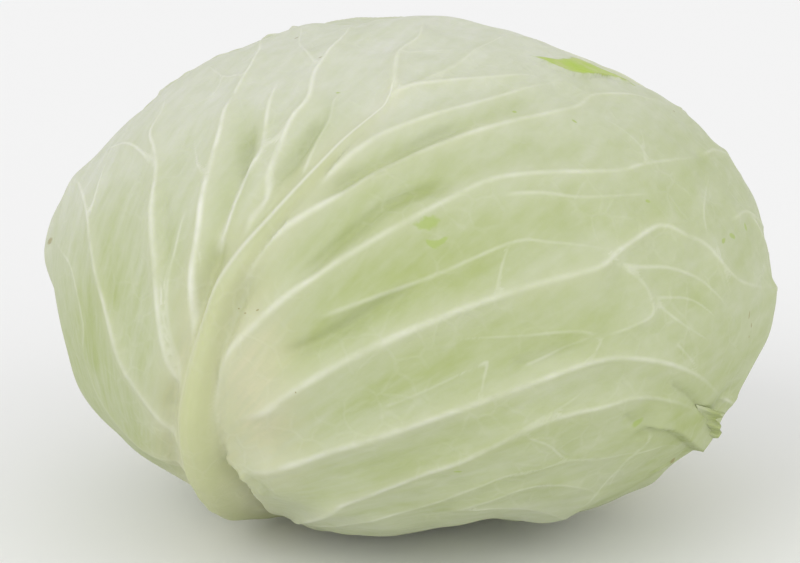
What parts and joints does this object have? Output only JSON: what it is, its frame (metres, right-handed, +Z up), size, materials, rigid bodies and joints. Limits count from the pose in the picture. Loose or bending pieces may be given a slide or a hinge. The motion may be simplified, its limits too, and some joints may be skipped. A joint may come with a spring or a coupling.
{
  "type": "white cabbage",
  "caption": "Flat-headed white cabbage, standing stem down: a tight round head wrapped in large overlapping veined leaves with thick midribs that come up from a short cut stem.",
  "frame": {"origin": "on the surface the cabbage stands on, under the middle of its bounding box", "axes": "+Z up, out of the top of the head; +X to the right and -Y towards the viewer when the outermost leaf's midrib rises at the left front"},
  "size_m": [0.235, 0.225, 0.1638],
  "materials": {
    "outer_leaf": "waxy satin, pale green with whiter raised veins",
    "inner_leaf": "waxy satin, paler green with whiter raised veins",
    "heart": "waxy satin, cream white",
    "stem": "matte, moist fibrous cut"
  },
  "bodies": {
    "root": {"stem": "stem", "heart": "heart", "crown_leaf": "inner_leaf", "left_leaf": "inner_leaf", "back_right_leaf": "inner_leaf", "low_front_leaf": "inner_leaf", "back_left_leaf": "outer_leaf", "right_leaf": "outer_leaf", "front_leaf": "outer_leaf"}
  },
  "joints": []
}
